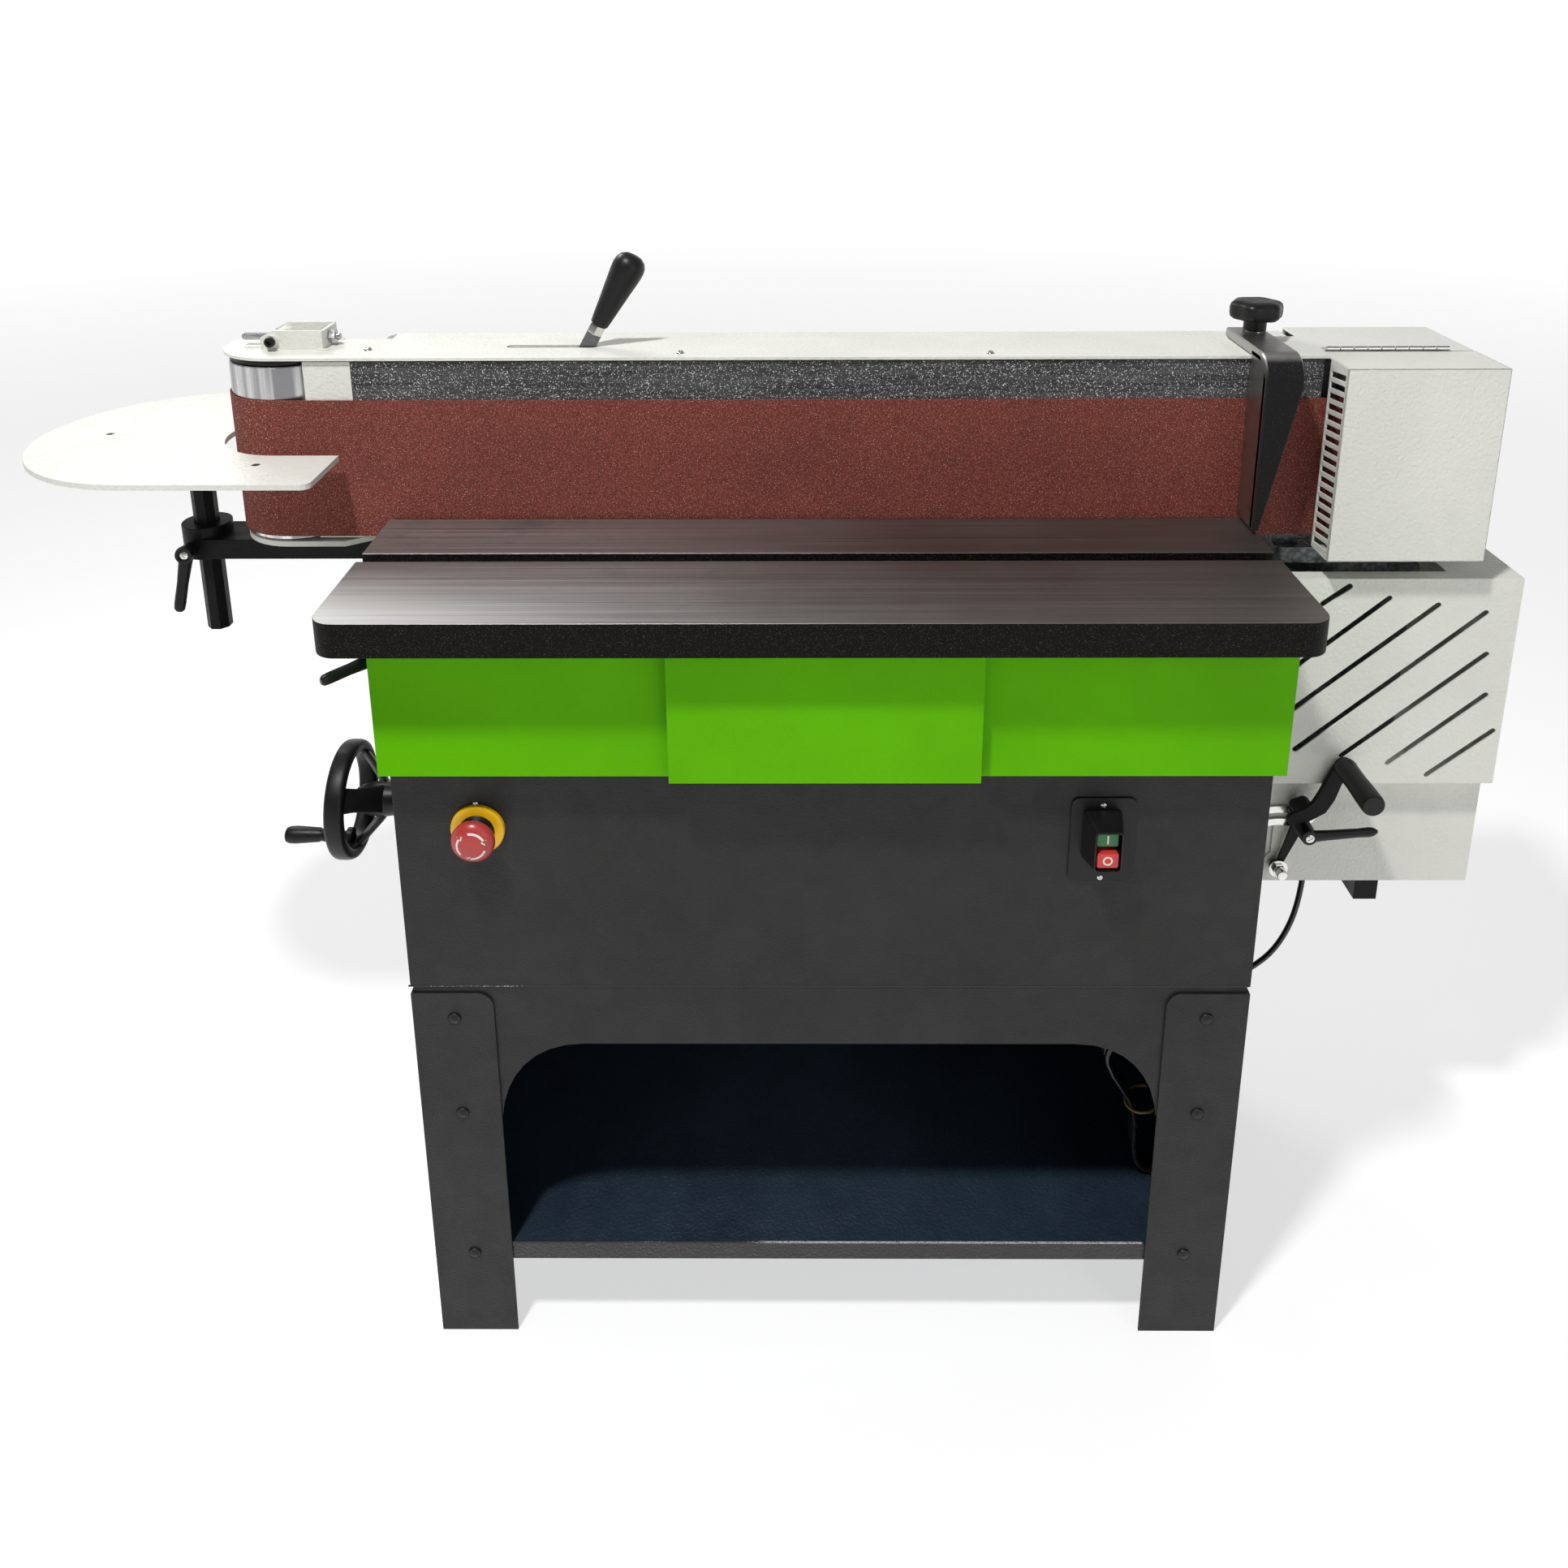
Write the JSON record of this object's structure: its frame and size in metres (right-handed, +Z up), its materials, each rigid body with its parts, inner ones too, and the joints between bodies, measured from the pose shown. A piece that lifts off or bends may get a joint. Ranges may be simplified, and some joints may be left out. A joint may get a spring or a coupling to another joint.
{
  "type": "edge belt sander",
  "caption": "Floor-standing oscillating edge belt sander: wide upright belt on two drums, iron work table on a handwheel lift, D-shaped end table, stop, guards and a stand with a shelf.",
  "frame": {"origin": "on the floor, below the middle of the machine's box without its mains lead", "axes": "+X along the belt from the idler drum to the drive drum, +Y from the operator to the back, +Z up"},
  "size_m": [1.609, 0.4838, 1.1661],
  "materials": {
    "white_powder_coat": "off-white powder coat with a fine orange-peel grain",
    "anthracite_powder_coat": "anthracite powder coat with a fine grain",
    "green_powder_coat": "lime green gloss powder coat",
    "grey_hammer_paint": "dark grey hammer-finish paint on cast iron",
    "black_enamel": "black satin enamel",
    "ground_iron": "ground top with fine streaks, as-cast rough sides",
    "bare_steel": "turned and ground steel",
    "turned_aluminium": "fine turned rings",
    "abrasive": "brown-red aluminium oxide grit on cloth",
    "graphite_cloth": "graphite-coated canvas",
    "black_plastic": "moulded black nylon",
    "yellow_plastic": "moulded yellow",
    "red_plastic": "moulded red",
    "green_plastic": "moulded green",
    "cable_jacket": "black rubber cable jacket"
  },
  "bodies": {
    "base": {"leg_front_left": "anthracite_powder_coat", "leg_front_right": "anthracite_powder_coat", "leg_rear_left": "anthracite_powder_coat", "leg_rear_right": "anthracite_powder_coat", "stand_front_panel": "anthracite_powder_coat", "stand_wrap_panel": "anthracite_powder_coat", "shelf": "anthracite_powder_coat", "cabinet_shell": "anthracite_powder_coat", "cabinet_top": "anthracite_powder_coat", "motor_cover": "white_powder_coat", "lift_post_left": "bare_steel", "lift_post_right": "bare_steel", "end_bracket": "black_enamel", "quadrant_plate": "bare_steel", "estop_body": "yellow_plastic", "switch_body": "black_plastic", "oscillator_gearbox": "black_enamel", "motor_cable": "cable_jacket", "mains_lead": "cable_jacket", "mains_hank": "cable_jacket", "mains_plug": "black_plastic"},
    "head": {"head_beam": "white_powder_coat", "platen": "bare_steel", "graphite_pad": "graphite_cloth", "top_plate": "white_powder_coat", "abrasive_belt": "abrasive", "rear_belt_guard": "white_powder_coat", "drum_guard": "white_powder_coat", "guard_hinge": "bare_steel", "motor": "grey_hammer_paint", "motor_bracket": "grey_hammer_paint", "head_post_left": "bare_steel", "head_post_right": "bare_steel", "cam_yoke": "bare_steel"},
    "idler_carriage": {"idler_carriage": "white_powder_coat", "tension_spring": "bare_steel"},
    "idler_drum": {"idler_drum": "turned_aluminium"},
    "drive_drum": {"drive_drum": "turned_aluminium"},
    "tension_lever": {"tension_lever": "black_plastic"},
    "tracking_screw": {"tracking_screw": "bare_steel"},
    "guard_door": {"guard_door": "white_powder_coat"},
    "work_stop": {"work_stop": "ground_iron"},
    "stop_knob": {"stop_knob": "black_plastic"},
    "table_lift": {"main_table": "ground_iron", "table_apron": "green_powder_coat", "table_saddle": "grey_hammer_paint"},
    "handwheel": {"handwheel": "black_plastic"},
    "wheel_grip": {"wheel_grip": "black_plastic"},
    "elevating_screw": {"elevating_screw": "bare_steel"},
    "height_lock_lever": {"height_lock_lever": "black_plastic"},
    "stroke_arm": {"stroke_arm": "black_enamel"},
    "stroke_grip": {"stroke_grip": "black_plastic"},
    "stroke_lock_lever": {"stroke_lock_lever": "black_plastic"},
    "end_table": {"end_table_plate": "white_powder_coat", "end_table_post": "black_enamel"},
    "end_lock_lever": {"end_lock_lever": "black_plastic"},
    "estop_button": {"estop_button": "red_plastic"},
    "start_button": {"start_button": "green_plastic"},
    "stop_button": {"stop_button": "red_plastic"},
    "oscillator_cam": {"oscillator_cam": "bare_steel"}
  },
  "joints": [
    {"name": "head_oscillation", "type": "slide", "parent": "base", "child": "head", "axis": [0, 0, 1], "range_m": [-0.003, 0.003]},
    {"name": "tension_lever_swing", "type": "hinge", "parent": "head", "child": "tension_lever", "pos_m": [-0.2225, 0.06015, 1.01], "axis": [0, -1, 0], "range_deg": [0, 66]},
    {"name": "idler_tension", "type": "slide", "parent": "head", "child": "idler_carriage", "axis": [1, 0, 0], "range_m": [0, 0.012], "deforming": ["tension_spring"]},
    {"name": "drive_drum_spin", "type": "hinge", "parent": "head", "child": "drive_drum", "pos_m": [0.64862, 0.07685, 0.95], "axis": [0, 0, 1], "continuous": true},
    {"name": "idler_drum_spin", "type": "hinge", "parent": "idler_carriage", "child": "idler_drum", "pos_m": [-0.5215, 0.07685, 0.95], "axis": [0, 0, 1], "continuous": true},
    {"name": "tracking_screw_turn", "type": "hinge", "parent": "head", "child": "tracking_screw", "pos_m": [-0.5145, 0.06915, 1.073], "axis": [1, 0, 0], "range_deg": [-360, 360]},
    {"name": "guard_door_hinge", "type": "hinge", "parent": "head", "child": "guard_door", "pos_m": [0.6535, 0.03815, 1.0638], "axis": [-1, 0, 0], "range_deg": [0, 110]},
    {"name": "work_stop_slide", "type": "slide", "parent": "head", "child": "work_stop", "axis": [1, 0, 0], "range_m": [-0.015, 0.02]},
    {"name": "stop_knob_turn", "type": "hinge", "parent": "work_stop", "child": "stop_knob", "pos_m": [0.5255, 0.07685, 1.09], "axis": [0, 0, 1], "continuous": true},
    {"name": "handwheel_turn", "type": "hinge", "parent": "base", "child": "handwheel", "pos_m": [-0.4515, -0.06185, 0.59], "axis": [1, 0, 0], "range_deg": [-2250, 0]},
    {"name": "wheel_grip_spin", "type": "hinge", "parent": "handwheel", "child": "wheel_grip", "pos_m": [-0.4965, -0.06185, 0.545], "axis": [1, 0, 0], "continuous": true},
    {"name": "elevating_screw_turn", "type": "hinge", "parent": "base", "child": "elevating_screw", "pos_m": [0.0625, -0.06185, 0.7], "axis": [0, 0, 1], "range_deg": [-2250, 0]},
    {"name": "table_height", "type": "slide", "parent": "base", "child": "table_lift", "axis": [0, 0, 1], "range_m": [-0.025, 0]},
    {"name": "height_lock_turn", "type": "hinge", "parent": "table_lift", "child": "height_lock_lever", "pos_m": [-0.3815, -0.12185, 0.79], "axis": [1, 0, 0], "range_deg": [-30, 30]},
    {"name": "stroke_arm_swing", "type": "hinge", "parent": "base", "child": "stroke_arm", "pos_m": [0.5805, -0.00585, 0.461], "axis": [0, -1, 0], "range_deg": [0, 45]},
    {"name": "stroke_grip_spin", "type": "hinge", "parent": "stroke_arm", "child": "stroke_grip", "pos_m": [0.6335, -0.05785, 0.604], "axis": [0, 1, 0], "continuous": true},
    {"name": "stroke_lock_turn", "type": "hinge", "parent": "stroke_arm", "child": "stroke_lock_lever", "pos_m": [0.6001, -0.02185, 0.5198], "axis": [0, 1, 0], "range_deg": [-35, 35]},
    {"name": "end_table_height", "type": "slide", "parent": "base", "child": "end_table", "axis": [0, 0, 1], "range_m": [-0.085, 0.05]},
    {"name": "end_lock_turn", "type": "hinge", "parent": "base", "child": "end_lock_lever", "pos_m": [-0.6445, 0.03815, 0.834], "axis": [0, 1, 0], "range_deg": [-40, 40]},
    {"name": "estop_press", "type": "slide", "parent": "base", "child": "estop_button", "axis": [0, 1, 0], "range_m": [0, 0.004], "stiffness_N_per_m": 900},
    {"name": "start_press", "type": "slide", "parent": "base", "child": "start_button", "axis": [0, 1, 0], "range_m": [0, 0.003], "stiffness_N_per_m": 500},
    {"name": "stop_press", "type": "slide", "parent": "base", "child": "stop_button", "axis": [0, 1, 0], "range_m": [0, 0.003], "stiffness_N_per_m": 500},
    {"name": "oscillator_cam_turn", "type": "hinge", "parent": "base", "child": "oscillator_cam", "pos_m": [0.64862, 0.08815, 0.572], "axis": [0, 1, 0], "continuous": true}
  ],
  "couplings": [
    {"joint": "tension_lever_swing", "follows": "idler_tension", "rad_per_m": 95.9},
    {"joint": "idler_drum_spin", "follows": "drive_drum_spin", "ratio": 1},
    {"joint": "elevating_screw_turn", "follows": "table_height", "rad_per_m": 1570.7},
    {"joint": "handwheel_turn", "follows": "table_height", "rad_per_m": 1570.7}
  ]
}
